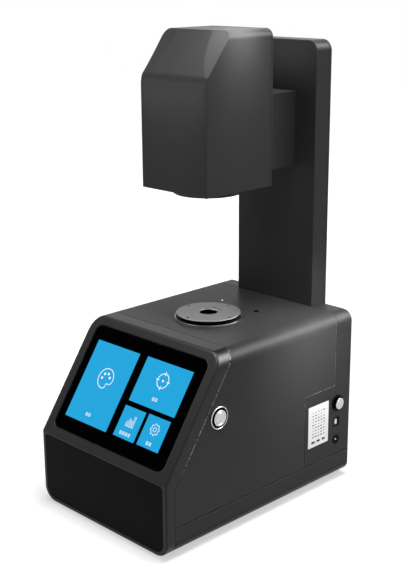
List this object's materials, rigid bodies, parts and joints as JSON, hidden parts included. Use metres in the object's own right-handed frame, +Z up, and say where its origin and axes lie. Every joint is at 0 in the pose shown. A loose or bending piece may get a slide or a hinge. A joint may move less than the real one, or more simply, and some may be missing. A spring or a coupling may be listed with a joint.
{
  "type": "haze meter",
  "caption": "Bench haze meter: casing with slanted touch screen, round sample port on top, and an optical head on a rear column above it.",
  "frame": {"origin": "centre of the bounding box at the underside of the feet", "axes": "+Z up, the screen faces -Y, the push buttons and sockets are on +X"},
  "size_m": [0.2186, 0.313, 0.5468],
  "materials": {
    "casing_paint": "satin, fine texture",
    "frame_plastic": "satin",
    "gloss_panel": "gloss",
    "screen_glass": "black cover glass, gloss",
    "port_aluminium": "anodised, satin",
    "bright_steel": "bright",
    "sheet_steel": "plain",
    "brass": "plain",
    "rubber": "matt",
    "black_plastic": "satin",
    "white_coat": "matt white reflective coat",
    "label": "white film",
    "circuit_board": "satin",
    "lens_glass": "clear"
  },
  "bodies": {
    "instrument": {"base_pan": "casing_paint", "main_shell": "casing_paint", "rear_shell": "casing_paint", "front_frame": "frame_plastic", "lower_front_panel": "gloss_panel", "screen_glass": "screen_glass", "display_module": "sheet_steel", "display_board": "circuit_board", "port_plate": "port_aluminium", "port_flange": "bright_steel", "port_screw_1": "bright_steel", "port_screw_2": "bright_steel", "port_screw_3": "bright_steel", "port_screw_4": "bright_steel", "fixture_bush": "brass", "test_button_housing": "bright_steel", "test_button_nut": "brass", "test_button_switch": "black_plastic", "power_button_housing": "black_plastic", "power_button_nut": "brass", "power_button_switch": "black_plastic", "usb_socket": "black_plastic", "dc_jack": "black_plastic", "socket_board": "circuit_board", "rating_label": "label", "foot_front_left": "rubber", "foot_front_right": "rubber", "foot_rear_left": "rubber", "foot_rear_right": "rubber", "sphere_upper_half": "white_coat", "sphere_lower_half": "white_coat", "sphere_stand": "sheet_steel", "detector_housing": "black_plastic", "detector_board": "circuit_board", "light_trap": "black_plastic", "shutter_motor": "sheet_steel", "shutter_motor_bracket": "sheet_steel", "main_board": "circuit_board", "column_post": "sheet_steel", "column_foot_bracket": "sheet_steel", "column_front_cover": "casing_paint", "column_rear_cover": "casing_paint", "head_arm": "casing_paint", "arm_front_plate": "bright_steel", "head_cover": "casing_paint", "head_rear_plate": "casing_paint", "head_bottom_plate": "casing_paint", "aperture_ring": "frame_plastic", "lens_barrel": "black_plastic", "collimating_lens": "lens_glass", "lens_retainer": "sheet_steel", "aperture_stop": "black_plastic", "condenser_lens": "lens_glass", "lamp_board": "white_coat", "lamp_heatsink": "sheet_steel", "optics_bracket": "sheet_steel", "lamp_cable": "black_plastic"},
    "test_button": {"test_button_cap": "bright_steel"},
    "power_button": {"power_button_cap": "bright_steel"},
    "shutter": {"trap_shutter": "white_coat"}
  },
  "joints": [
    {"name": "test_button_press", "type": "slide", "parent": "instrument", "child": "test_button", "axis": [-1, 0, 0], "range_m": [0, 0.002], "stiffness_N_per_m": 600, "springref_m": -0.002},
    {"name": "power_button_press", "type": "slide", "parent": "instrument", "child": "power_button", "axis": [-1, 0, 0], "range_m": [0, 0.0025], "stiffness_N_per_m": 600, "springref_m": -0.002},
    {"name": "trap_shutter_swing", "type": "hinge", "parent": "instrument", "child": "shutter", "pos_m": [-0.04625, 0.014, 0.069], "axis": [0, 0, 1], "range_deg": [0, 45]}
  ]
}
